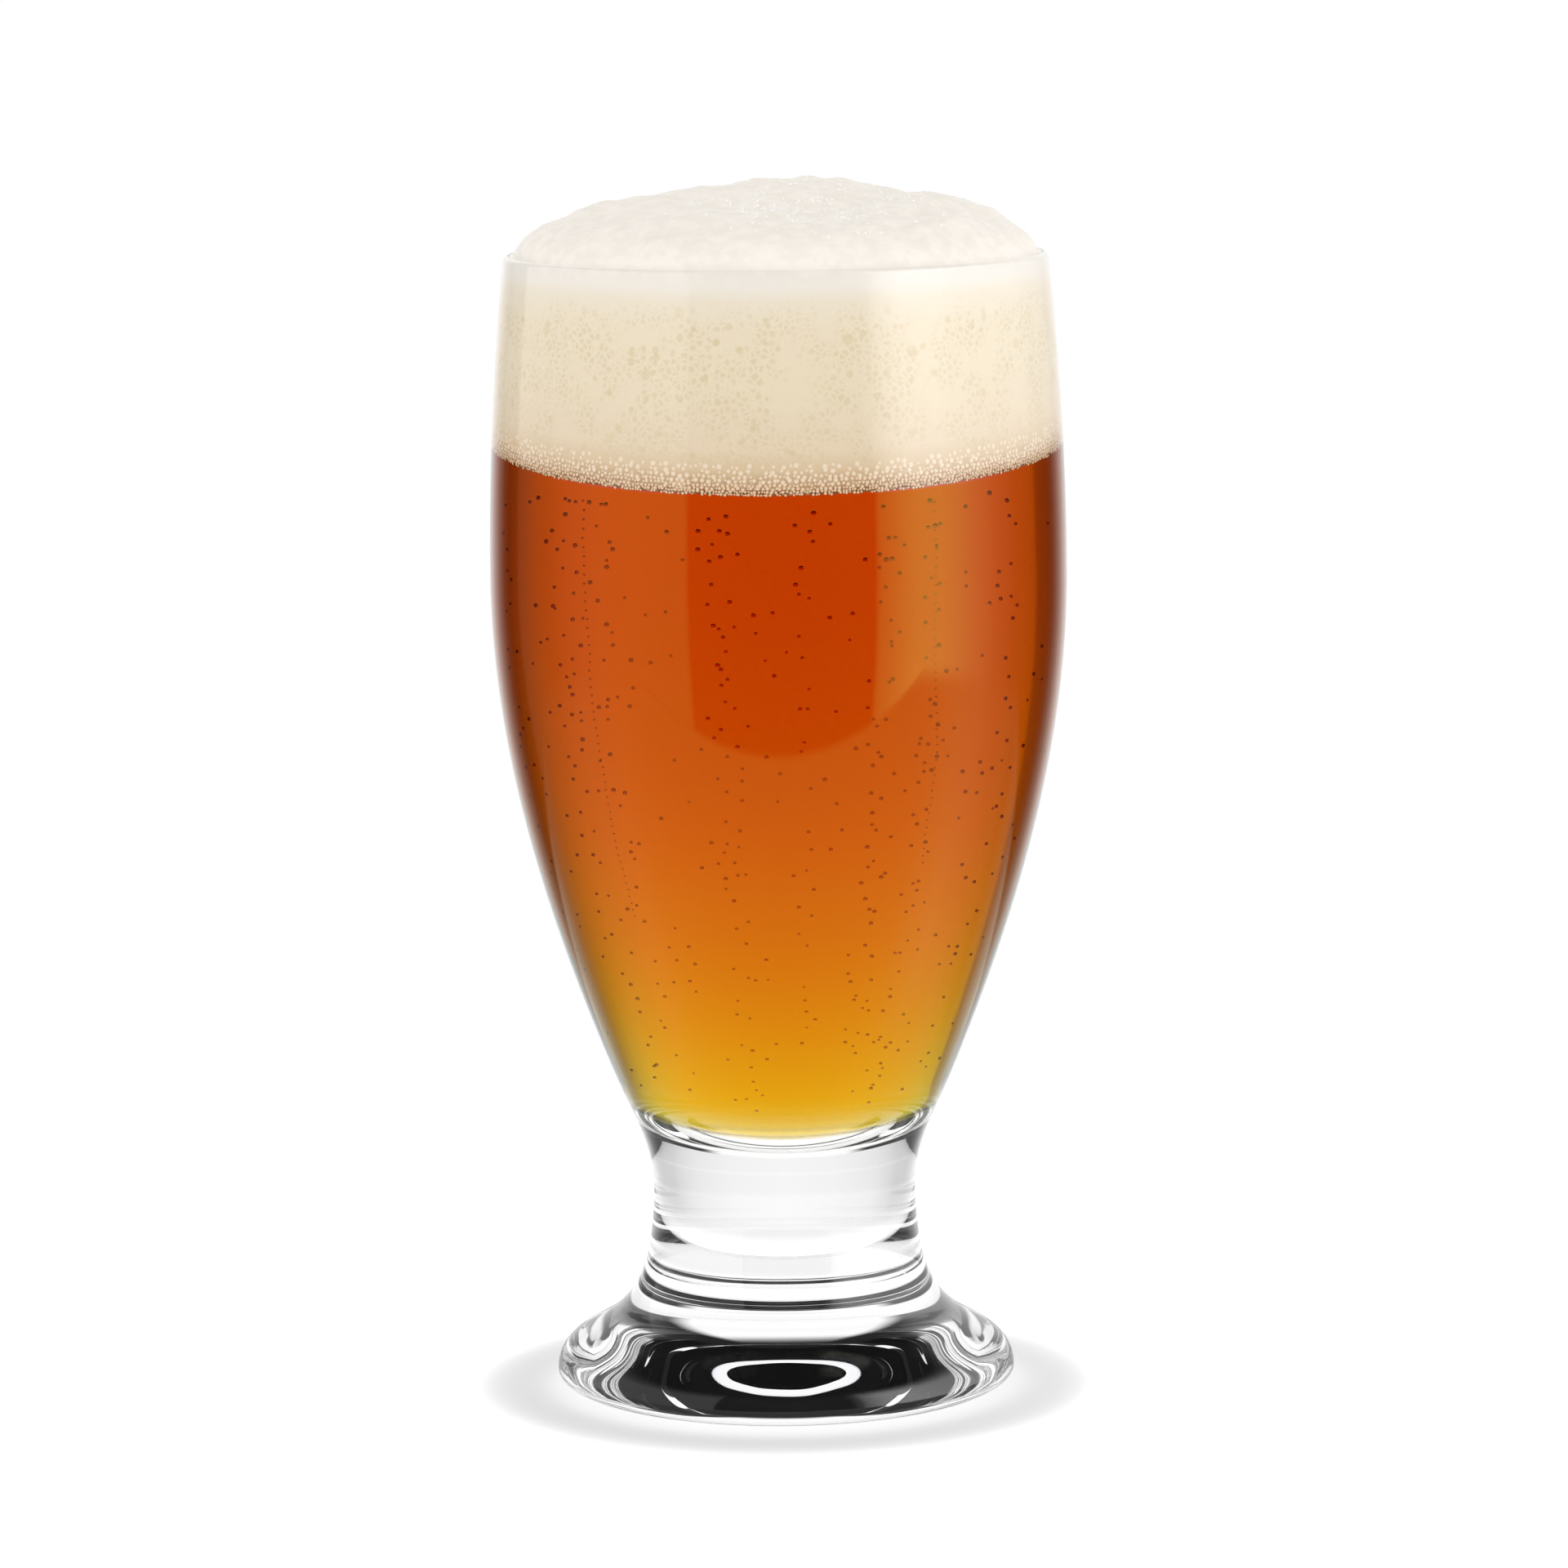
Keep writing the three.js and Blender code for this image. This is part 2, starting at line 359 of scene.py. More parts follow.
def foam_bead():
    """A bead of radius 1 that faces the front, -Y, cut off and closed behind, marked for painted shade
    towards its rim and its lower side.
    """
    cut_behind = 0.2
    shaded_below = 0.3
    bpy.ops.mesh.primitive_uv_sphere_add(
        segments=7, ring_count=5, radius=1, rotation=(math.pi / 2, 0, 0)
    )
    bead = bpy.context.object
    bpy.ops.object.transform_apply(location=True, rotation=True, scale=True)
    bpy.ops.object.mode_set(mode="EDIT")
    bpy.ops.mesh.select_all(action="SELECT")
    bpy.ops.mesh.bisect(
        plane_co=(0, cut_behind, 0), plane_no=(0, 1, 0), use_fill=True, clear_outer=True
    )
    bpy.ops.object.mode_set(mode="OBJECT")
    bpy.ops.object.shade_smooth()
    # Painted shade, strongest at each bead's rim and on its lower side
    seam_shade = bead.data.attributes.new("bead_painted_shade", "FLOAT", "POINT")
    for vertex in bead.data.vertices:
        sideways = math.hypot(vertex.co.x, vertex.co.z)
        seam_shade.data[vertex.index].value = min(sideways ** 3 * (1 - shaded_below * vertex.co.z), 1)
    return bead


def select_only(*pieces):
    """Selects these pieces and no others, with the first one active."""
    bpy.ops.object.select_all(action="DESELECT")
    for piece in pieces:
        piece.select_set(True)
    bpy.context.view_layer.objects.active = pieces[0]


def joined(piece, *others):
    """One object from a piece and others that are fused with it."""
    select_only(piece, *others)
    bpy.ops.object.join()
    return piece


def scattered_copies(model, places):
    """Copies of a small model at each (place, scale), facing out, each with its own mesh, then joined."""
    copies = []
    for place, scale in places:
        copy = model.copy()
        copy.data = model.data.copy()
        copy.location = place
        copy.rotation_euler = (0, 0, math.atan2(place.x, -place.y))
        copy.scale = (scale, scale, scale)
        bpy.context.collection.objects.link(copy)
        copies.append(copy)
    bpy.data.objects.remove(model)
    whole = joined(*copies)
    bpy.ops.object.transform_apply(location=True, rotation=True, scale=True)
    return whole


def wall_place(turn, height, depth):
    """A point at a turn about the axis and a height, at a depth inside the bowl's inner wall."""
    out = wall_inside(height) - depth
    return Vector((out * math.sin(turn), -out * math.cos(turn), height))


# Bubbles in the ale, which grow from the bowl's floor up to the foam
BUBBLES_START = BOWL_FLOOR + 7 * MM
BUBBLES_END = ALE_LEVEL - 1.6 * MM
BUBBLE_RADIUS = 0.25 * MM
BUBBLE_GROWTH = 0.09 * MM
BUBBLE_HEIGHT_SHARE = 0.8
BUBBLE_OFF_WALL = 0.08 * MM
BUBBLES_CLEAR = 0.04 * MM

# Bubbles that cling to the wall, most of them in front, every eighth turned on towards the back
CLINGING_BUBBLES = 300
CLINGING_APART = 1 * MM
CLINGING_TURN = 1.22
CLINGING_RISE = 0.85
CLINGING_SIZES = (0.7, 1.15)
TURNED_ON_EVERY = 8
TURNED_ON = 1.35

# Bubbles that rise in files, at turns about the axis from the front
FILE_TURNS = [-1.25, -0.87, -0.8, -0.65, -0.22, -0.17, 0.1, 0.37, 0.41, 0.55, 0.6, 0.95]
FILE_SWAY = 0.035
FILE_SIZES = (0.75, 1.15)
FILE_STARTS = (0, 12 * MM)
FILE_DEPTHS = (0, 0.5 * MM)
FILE_GAPS = (1 * MM, 6 * MM)

# Fine bubbles that rise in threads, which drift a little to the left as they rise
THREAD_TURNS = [-0.7, 0.62]
THREAD_RADIUS = 0.1 * MM
THREAD_OFF_WALL = 0.9 * MM
THREAD_STARTS = (15 * MM, 40 * MM)
THREAD_DRIFT = (-0.006, 0.004)
THREAD_GAP = 0.75 * MM
THREAD_GAP_GROWTH = 0.5 * MM


def keep_bubble(places, place, radius, apart):
    """Adds a bubble to the (place, radius) pairs if it lies far enough apart from all of them."""
    for other, other_radius in places:
        if (place - other).length < radius + other_radius + apart:
            return
    places.append((place, radius))


def bubble_share(height):
    """Share of a height between the lowest and the highest bubbles."""
    return (height - BUBBLES_START) / (BUBBLES_END - BUBBLES_START)


def add_clinging_bubbles(draw, places):
    """Adds the bubbles that cling to the wall."""
    for number in range(CLINGING_BUBBLES):
        share = draw.random() ** CLINGING_RISE
        radius = (BUBBLE_RADIUS + BUBBLE_GROWTH * share) * draw.uniform(*CLINGING_SIZES)
        turn = draw.uniform(-CLINGING_TURN, CLINGING_TURN)
        if number % TURNED_ON_EVERY == 0:
            turn += math.copysign(TURNED_ON, turn)
        height = BUBBLES_START + (BUBBLES_END - BUBBLES_START) * share
        keep_bubble(places, wall_place(turn, height, radius + BUBBLE_OFF_WALL), radius, CLINGING_APART)


def add_bubble_files(draw, places):
    """Adds the bubbles that rise one above the other beside the wall."""
    for middle in FILE_TURNS:
        height = BUBBLES_START + draw.uniform(*FILE_STARTS)
        while height < BUBBLES_END:
            radius = BUBBLE_RADIUS + BUBBLE_GROWTH * bubble_share(height)
            radius *= draw.uniform(*FILE_SIZES)
            turn = middle + draw.uniform(-FILE_SWAY, FILE_SWAY)
            depth = radius + BUBBLE_OFF_WALL + draw.uniform(*FILE_DEPTHS)
            keep_bubble(places, wall_place(turn, height, depth), radius, BUBBLES_CLEAR)
            height += draw.uniform(*FILE_GAPS)


def add_bubble_threads(draw, places):
    """Adds the fine bubbles that rise close together."""
    for turn in THREAD_TURNS:
        height = BUBBLES_START + draw.uniform(*THREAD_STARTS)
        while height < BUBBLES_END:
            share = bubble_share(height)
            turn += draw.uniform(*THREAD_DRIFT)
            radius = THREAD_RADIUS + BUBBLE_GROWTH * share
            keep_bubble(places, wall_place(turn, height, THREAD_OFF_WALL), radius, BUBBLES_CLEAR)
            height += THREAD_GAP + THREAD_GAP_GROWTH * share


def bubble_places(draw):
    """Where the ale's bubbles are, as (place, radius), none touching."""
    places = []
    add_clinging_bubbles(draw, places)
    add_bubble_files(draw, places)
    add_bubble_threads(draw, places)
    return places


# Wet beads in rows above the ale's line, larger, flatter and fewer with each row
BEAD_ROWS = 8
BEAD_RADIUS = 0.2 * MM
BEAD_GROWTH = 0.035 * MM
BEAD_STEP = 1.9
ROW_STEP = 1.7
ROW_SWAY = 0.45
ROW_STARTS = (0, 0.01)
BEAD_SIZES = (0.65, 1.35)
BEAD_PROUD = 0.8
BEAD_PROUD_FALL = 0.05
FIRST_ROW_CLIMB = 0.05 * MM

# The share of beads that are kept in the first row, and in the later rows, where it is 1 at most
FIRST_ROW_KEPT = 0.65
LATER_KEPT = 1.55
LATER_KEPT_FALL = 0.13

# Wet beads on the crown, most of them close round a place just behind the dimple's middle
CROWN_BEADS = 300
CROWN_BEAD_RADII = (0.09 * MM, 0.26 * MM)
CROWN_BEAD_SUNK = 0.1
CROWN_BEADS_BEHIND = 3 * MM
CLOSE_SPREAD = 7 * MM
WIDE_SPREAD = 18 * MM
WIDE_EVERY = 4
CROWN_BEADS_EDGE = CROWN_RADIUS - 3 * MM
ABOVE_CROWN = RIM + 40 * MM


def bead_places(draw):
    """Where the foam's wet beads sit on the wall above the ale's line, as (place, radius)."""
    wall = wall_inside(ALE_LEVEL)
    climb = FIRST_ROW_CLIMB
    places = []
    for row in range(BEAD_ROWS):
        usual = BEAD_RADIUS + BEAD_GROWTH * row
        kept = min(1, LATER_KEPT - LATER_KEPT_FALL * row) if row else FIRST_ROW_KEPT
        turn = draw.uniform(*ROW_STARTS)
        while turn < 2 * math.pi:
            radius = usual * draw.uniform(*BEAD_SIZES)
            height = line_height(turn) + climb + draw.uniform(-ROW_SWAY, ROW_SWAY) * usual
            if draw.random() < kept:
                proud = (BEAD_PROUD - BEAD_PROUD_FALL * row) * radius
                places.append((wall_place(turn, height, radius - FOAM_CONTACT - proud), radius))
            turn += BEAD_STEP * radius / wall
        climb += ROW_STEP * usual
    return places


def crown_bead_places(draw, foam):
    """Where wet beads glisten on the crown, mostly in and round its dimple, as (place, radius)."""
    places = []
    down = Vector((0, 0, -1))
    for number in range(CROWN_BEADS):
        spread = CLOSE_SPREAD if number % WIDE_EVERY else WIDE_SPREAD
        x = DIMPLE_PLACE.x + draw.gauss(0, spread)
        y = DIMPLE_PLACE.y + CROWN_BEADS_BEHIND + draw.gauss(0, spread)
        radius = draw.uniform(*CROWN_BEAD_RADII)
        if math.hypot(x, y) > CROWN_BEADS_EDGE:
            continue
        found, place, _, _ = foam.ray_cast(Vector((x, y, ABOVE_CROWN)), down)
        if found:
            places.append((place + down * CROWN_BEAD_SUNK * radius, radius))
    return places


def node(tree, kind, inputs=None, **settings):
    """A shader node with its settings, and its inputs set or linked by name or number."""
    made = tree.nodes.new(kind)
    for name, value in settings.items():
        setattr(made, name, value)
    for name, value in (inputs or {}).items():
        socket = made.inputs[name]
        if isinstance(value, bpy.types.NodeSocket):
            tree.links.new(value, socket)
        elif socket.type == "RGBA":
            socket.default_value = (*value, 1)
        else:
            socket.default_value = value
    return made


def grey(level):
    """A grey of one level in all three channels."""
    return (level, level, level)


def empty_material(name):
    """A new material with no nodes yet, and its node tree."""
    material = bpy.data.materials.new(name)
    material.use_nodes = True
    material.node_tree.nodes.clear()
    return material, material.node_tree


def color_ramp(tree, share, stops):
    """A colour ramp over share, with stops of (place, colour)."""
    ramp = node(tree, "ShaderNodeValToRGB", {"Fac": share})
    elements = ramp.color_ramp.elements
    while len(elements) > 1:
        elements.remove(elements[-1])
    elements[0].position = stops[0][0]
    elements[0].color = (*stops[0][1], 1)
    for place, color in stops[1:]:
        elements.new(place).color = (*color, 1)
    return ramp.outputs["Color"]


def mixed_color(tree, share, first, second):
    """The first colour going over to the second as share goes from 0 to 1."""
    factor, first_color, second_color, result = 0, 6, 7, 2
    inputs = {factor: share, first_color: first, second_color: second}
    return node(tree, "ShaderNodeMix", inputs, data_type="RGBA").outputs[result]


def mixed_shader(tree, share, first, second):
    """The first shader going over to the second as share goes from 0 to 1."""
    return node(tree, "ShaderNodeMixShader", {0: share, 1: first.outputs[0], 2: second.outputs[0]})


def graded(tree, value, start, end):
    """0 where value is at start, 1 where it is at end, smooth between."""
    grade = node(
        tree,
        "ShaderNodeMapRange",
        {"Value": value, "From Min": start, "From Max": end},
        interpolation_type="SMOOTHSTEP",
    )
    return grade.outputs["Result"]


def faded(tree, value, start, end, first, second):
    """The first colour up to where value is at start, the second from where it is at end."""
    return mixed_color(tree, graded(tree, value, start, end), first, second)


def noise(tree, place, scale, detail):
    """Soft random clouds, of which a given number lie along a metre."""
    made = node(tree, "ShaderNodeTexNoise", {"Vector": place, "Scale": scale, "Detail": detail})
    return made.outputs["Fac"]


def relief_normal(tree, height, strength, depth):
    """The normal of a surface with a relief of a given depth."""
    made = node(tree, "ShaderNodeBump", {"Height": height, "Strength": strength, "Distance": depth})
    return made.outputs["Normal"]


def calculated(tree, operation, *values):
    """A Math node on sockets or numbers."""
    made = node(tree, "ShaderNodeMath", dict(enumerate(values)), operation=operation)
    return made.outputs["Value"]


def object_place(tree):
    """The place on a piece, in the glass's own frame, which patterns follow."""
    return node(tree, "ShaderNodeTexCoord").outputs["Object"]


def object_height(tree):
    """The height on a piece above the table."""
    return node(tree, "ShaderNodeSeparateXYZ", {"Vector": object_place(tree)}).outputs["Z"]


def marked(tree, name):
    """The values with which a piece's points were marked under a name."""
    return node(tree, "ShaderNodeAttribute", attribute_name=name).outputs["Fac"]


# Clear glass: its refraction, the light it lets through, faint waves, and the tint of its gloss before ale
GLASS_REFRACTION = 1.5
LIGHT_THROUGH_GLASS = 0.95
WAVE_STRENGTH = 0.5
WAVES_PER_METRE = 110
BOWL_WAVES = 0.02 * MM
FOOT_WAVES = 0.06 * MM
ALE_VEIL = (0.8, 1, 0.15)

# Slants, as 1 less the cosine, from which the foot's light is mirrored at the ale and turned back by it
ALE_MIRRORS = 0.48
ALE_TURNS_BACK = 0.63
FOOT_LIGHT_ENDS = 100 * MM
UNLIT = grey(0.01)

# The ale: its refraction, what its depth leaves of white light, and on top of that a painted shade over
# its height, darker and redder towards the top, in place of light from below that lightens its lower part
ALE_REFRACTION = 1.34
ALE_LEAVES = (0.97, 0.877, 0.08)
ALE_DENSITY = 200
# Heights between which the ale's painted shade goes from none to its darkest
ALE_SHADE_STARTS = 40 * MM
ALE_SHADE_ENDS = 110 * MM
ALE_PAINTED_SHADE = [
    (0, (1, 1, 1)),
    (0.11, (0.96, 0.85, 0.8)),
    (0.23, (0.93, 0.69, 0.6)),
    (0.36, (0.9, 0.53, 0.45)),
    (0.56, (0.86, 0.375, 0.32)),
    (0.69, (0.82, 0.32, 0.28)),
    (1, (0.81, 0.26, 0.25)),
]

# The bubbles' film in the pale ale at the bowl's floor, and in the deeper ale above
FILM_REFRACTION = 1.2
PALE_FILM = (0.8, 0.42, 0.02)
DEEP_FILM = (0.74, 0.09, 0.01)
PALE_FILM_ENDS = 55 * MM
DEEP_FILM_STARTS = 80 * MM


def clear_surface(tree, color, refraction, specular_tint, **more):
    """A smooth surface that light goes through, with more inputs by name where it has them."""
    inputs = {
        "Base Color": color,
        "Metallic": 0,
        "Roughness": 0,
        "IOR": refraction,
        "Transmission Weight": 1,
        "Specular Tint": specular_tint,
        **more,
    }
    return node(tree, "ShaderNodeBsdfPrincipled", inputs)


def clear_glass(name, specular_tint, wave_depth):
    """Clear fire-polished glass that lets the lamps' light straight through to what stands behind it."""
    material, tree = empty_material(name)
    waves = noise(tree, object_place(tree), WAVES_PER_METRE, 1)
    normal = relief_normal(tree, waves, WAVE_STRENGTH, wave_depth)
    surface = clear_surface(tree, (1, 1, 1), GLASS_REFRACTION, specular_tint, Normal=normal)
    path = node(tree, "ShaderNodeLightPath")
    straight = node(tree, "ShaderNodeBsdfTransparent", {"Color": grey(LIGHT_THROUGH_GLASS)})
    seen = mixed_shader(tree, path.outputs["Is Diffuse Ray"], surface, straight)
    lit = mixed_shader(tree, path.outputs["Is Shadow Ray"], seen, straight)
    node(tree, "ShaderNodeOutputMaterial", {"Surface": lit.outputs["Shader"]})
    return material


def seen_from_foot(tree, surface, height):
    """The ale's surface, but dark and then mirroring to light that was turned back inside the foot."""
    path = node(tree, "ShaderNodeLightPath")
    from_inside = node(tree, "ShaderNodeNewGeometry").outputs["Backfacing"]
    grazing = node(tree, "ShaderNodeLayerWeight", {"Blend": 0.5}).outputs["Facing"]
    at_floor = calculated(tree, "LESS_THAN", height, BOWL_FLOOR + FLOOR_DISH)
    slant = calculated(tree, "MULTIPLY_ADD", grazing, at_floor, from_inside)
    turned_back = calculated(tree, "MINIMUM", path.outputs["Glossy Depth"], 1)
    low = calculated(tree, "LESS_THAN", height, FOOT_LIGHT_ENDS)
    from_foot = calculated(tree, "MULTIPLY", turned_back, low)
    shade = node(tree, "ShaderNodeBsdfDiffuse", {"Color": UNLIT})
    mirror = node(tree, "ShaderNodeBsdfGlossy", {"Color": (1, 1, 1), "Roughness": 0})
    seen = surface
    for end, shader in ((ALE_TURNS_BACK, mirror), (ALE_MIRRORS, shade)):
        steep = calculated(tree, "LESS_THAN", slant, end)
        seen = mixed_shader(tree, calculated(tree, "MULTIPLY", from_foot, steep), seen, shader)
    return seen


def amber_ale():
    """Clear amber ale, deeper the longer light's way through it, with painted shade that makes it darker
    and redder towards its top.
    """
    material, tree = empty_material("amber_ale")
    height = object_height(tree)
    share = node(
        tree,
        "ShaderNodeMapRange",
        {"Value": height, "From Min": ALE_SHADE_STARTS, "From Max": ALE_SHADE_ENDS},
    )
    # Painted shade: the ale darker and redder towards its top
    ale_shade = color_ramp(tree, share.outputs["Result"], ALE_PAINTED_SHADE)
    surface = clear_surface(tree, ale_shade, ALE_REFRACTION, (0, 0, 0))
    depth = node(
        tree, "ShaderNodeVolumeAbsorption", {"Color": ALE_LEAVES, "Density": ALE_DENSITY}
    )
    seen = seen_from_foot(tree, surface, height)
    node(
        tree,
        "ShaderNodeOutputMaterial",
        {"Surface": seen.outputs["Shader"], "Volume": depth.outputs["Volume"]},
    )
    return material


def bubble_film():
    """The skin of the ale's bubbles, brown where it is seen through, paler further down."""
    material, tree = empty_material("bubble_film")
    film = faded(tree, object_height(tree), PALE_FILM_ENDS, DEEP_FILM_STARTS, PALE_FILM, DEEP_FILM)
    surface = clear_surface(tree, film, FILM_REFRACTION, (0, 0, 0))
    node(tree, "ShaderNodeOutputMaterial", {"Surface": surface.outputs["BSDF"]})
    return material


# The foam's colour from the ale's line up to the rim: painted shade in a dark line at the ale's line, then
# tan that is partly wetness and partly painted amber light from the ale, and whiter towards the crown
FOAM_COLOR_AND_SHADE = [
    (0, (0.2, 0.06, 0.015)),
    (0.012, (0.24, 0.08, 0.02)),
    (0.03, (0.5, 0.3, 0.15)),
    (0.11, (0.78, 0.59, 0.38)),
    (0.2, (0.87, 0.71, 0.51)),
    (0.45, (0.9, 0.77, 0.56)),
    (0.72, (0.915, 0.79, 0.585)),
    (0.86, (0.93, 0.83, 0.67)),
    (0.92, (0.95, 0.885, 0.79)),
    (0.97, (0.96, 0.905, 0.83)),
]
# A painted amber glow where the foam meets the ale: the foam shines there though it is no lamp
FOAM_PAINTED_GLOW = [(0, (0.12, 0.035, 0.006)), (0.01, (0, 0, 0))]

# How many cells, patches and lumps of the froth lie along a metre
CELLS_PER_METRE = 1150
PATCHES_PER_METRE = 230
LUMPS_PER_METRE = 420
FINE_PER_METRE = 2000

# Round bubbles in the froth: how many to the metre, the share that shows, and their edge from outside in
MIDDLING_BUBBLES = (640, 0.22, 0.36, 0.3)
LARGE_BUBBLES = (230, 0.3, 0.19, 0.165)

# Strength and colour with which cells, bubbles and the crown's mottle shade the foam
CELL_SHADE = (0.6, (0.76, 0.62, 0.38))
MIDDLING_SHADE = (0.5, (0.74, 0.61, 0.36))
LARGE_SHADE = (0.7, (0.8, 0.68, 0.43))
MOTTLE_SHADE = (0.35, (0.84, 0.78, 0.7))

# The froth's relief, and the shares that cells, fine bubbles and the crown's lumps have in it
FROTH_RELIEF = 0.14 * MM
RELIEF_STRENGTH = 0.6
CELL_RELIEF = -0.5
FINE_RELIEF = 0.35
LUMP_RELIEF = 1.6

# Shares of the way from the ale's line up to the rim between which the side goes over to the crown
SIDE_ENDS = 0.7
CROWN_STARTS = 0.9

# How often light may be turned back before the foam stays dark to it
TURNS_UNTIL_DARK = 2.5

# The wet beads' colours from the ale's line up to the rim: a painted highlight in their middles and
# painted shade in the seams between them, the tan near the line partly wetness and partly painted amber
# light from the ale
BEAD_PAINTED_LIGHT = [
    (0, (0.95, 0.69, 0.44)),
    (0.06, (0.96, 0.8, 0.6)),
    (0.2, (0.95, 0.83, 0.64)),
    (0.95, (1, 0.99, 0.97)),
]
BEAD_PAINTED_SHADE = [
    (0, (0.4, 0.17, 0.06)),
    (0.06, (0.66, 0.41, 0.21)),
    (0.2, (0.82, 0.64, 0.43)),
    (0.3, (0.86, 0.71, 0.5)),
    (0.95, (0.93, 0.89, 0.83)),
]


def spots(tree, place, scale, share, outside, inside):
    """A mask of round spots, on a share of the cells of a given number to the metre."""
    cells = node(tree, "ShaderNodeTexVoronoi", {"Vector": place, "Scale": scale})
    chance = node(tree, "ShaderNodeSeparateColor", {"Color": cells.outputs["Color"]}).outputs["Red"]
    chosen = calculated(tree, "LESS_THAN", chance, share)
    return calculated(tree, "MULTIPLY", graded(tree, cells.outputs["Distance"], outside, inside), chosen)


def dark_from_foot(tree, surface):
    """Finishes a foam material, which stays dark to light that was turned back often in the foot."""
    path = node(tree, "ShaderNodeLightPath")
    shade = node(tree, "ShaderNodeBsdfDiffuse", {"Color": UNLIT})
    share = calculated(tree, "GREATER_THAN", path.outputs["Glossy Depth"], TURNS_UNTIL_DARK)
    mix = mixed_shader(tree, share, surface, shade)
    node(tree, "ShaderNodeOutputMaterial", {"Surface": mix.outputs["Shader"]})


def froth_cells(tree, place):
    """A mask of the froth's hollow cells between their pale walls, deeper in patches."""
    cells = node(
        tree,
        "ShaderNodeTexVoronoi",
        {"Vector": place, "Scale": CELLS_PER_METRE},
        feature="DISTANCE_TO_EDGE",
    )
    hollow = graded(tree, cells.outputs["Distance"], 0.03, 0.32)
    patches = graded(tree, noise(tree, place, PATCHES_PER_METRE, 1), 0.28, 0.6)
    return calculated(tree, "MULTIPLY", hollow, patches)


def cream_foam():
    """Cream froth: pale-walled cells, a few big bubbles, a painted dark line and painted glow at the ale's
    line, tan near the ale partly from wetness and partly painted amber light, and whiter at the crown.
    """
    material, tree = empty_material("cream_foam")
    place = object_place(tree)
    rise = marked(tree, "foam_rise")
    below_rim = graded(tree, rise, CROWN_STARTS, SIDE_ENDS)
    on_crown = graded(tree, rise, CROWN_STARTS, 1)
    cells = calculated(tree, "MULTIPLY", froth_cells(tree, place), below_rim)
    middling = spots(tree, place, *MIDDLING_BUBBLES)
    large = spots(tree, place, *LARGE_BUBBLES)
    froth = noise(tree, place, LUMPS_PER_METRE, 5)
    mottle = graded(tree, froth, 0.6, 0.4)
    # Foam colour with a painted shade line at the ale's line and painted amber light near it
    color = color_ramp(tree, rise, FOAM_COLOR_AND_SHADE)
    for mask, (strength, shade) in (
        (cells, CELL_SHADE),
        (calculated(tree, "MULTIPLY", middling, below_rim), MIDDLING_SHADE),
        (calculated(tree, "MULTIPLY", large, below_rim), LARGE_SHADE),
        (calculated(tree, "MULTIPLY", mottle, on_crown), MOTTLE_SHADE),
    ):
        color = mixed_color(tree, calculated(tree, "MULTIPLY", mask, strength), color, shade)
    fine = node(tree, "ShaderNodeTexVoronoi", {"Vector": place, "Scale": FINE_PER_METRE})
    sunk = calculated(tree, "MULTIPLY", cells, CELL_RELIEF)
    relief = calculated(tree, "MULTIPLY_ADD", fine.outputs["Distance"], FINE_RELIEF, sunk)
    lumps = calculated(tree, "MULTIPLY", froth, on_crown)
    relief = calculated(tree, "MULTIPLY_ADD", lumps, LUMP_RELIEF, relief)
    surface = node(
        tree,
        "ShaderNodeBsdfPrincipled",
        {
            "Base Color": color,
            "Roughness": 0.5,
            "Specular IOR Level": 0.2,
            # Painted glow at the ale's line
            "Emission Color": color_ramp(tree, rise, FOAM_PAINTED_GLOW),
            "Emission Strength": 1,
            "Normal": relief_normal(tree, relief, RELIEF_STRENGTH, FROTH_RELIEF),
        },
    )
    dark_from_foot(tree, surface)
    return material


def wet_beads():
    """Wet foam beads: a painted highlight in the middle, painted shade in the seams between them and on
    their lower side, paler further from the ale, with tan near it partly wetness and partly painted amber
    light.
    """
    clouds_per_metre = 700
    cloud_roughness = 0.2
    least_roughness = 0.08
    material, tree = empty_material("wet_beads")
    rise = marked(tree, "foam_rise")
    middle = color_ramp(tree, rise, BEAD_PAINTED_LIGHT)
    seam_shade = color_ramp(tree, rise, BEAD_PAINTED_SHADE)
    clouds = noise(tree, object_place(tree), clouds_per_metre, 2)
    surface = node(
        tree,
        "ShaderNodeBsdfPrincipled",
        {
            # A painted highlight in each bead's middle and painted shade at its rim and below
            "Base Color": mixed_color(tree, marked(tree, "bead_painted_shade"), middle, seam_shade),
            "Roughness": calculated(tree, "MULTIPLY_ADD", clouds, cloud_roughness, least_roughness),
            "Specular IOR Level": 0.5,
        },
    )
    dark_from_foot(tree, surface)
    return material


def is_wet_wall(face):
    """Whether a face of the glass is on the bowl's inside, against the ale or the foam."""
    near_wall = 0.5 * MM
    near_floor = 0.01 * MM
    out = math.hypot(face.center.x, face.center.y)
    within = BOWL_FLOOR - near_floor < face.center.z < LIP_BASE
    return within and out < wall_inside(face.center.z) + near_wall


def is_round_ale(face):
    """Whether a face of the glass lies at the ale's height, above the lower half of its dished floor."""
    line = line_height(math.atan2(face.center.x, -face.center.y))
    return BOWL_FLOOR + FLOOR_DISH / 2 < face.center.z < line


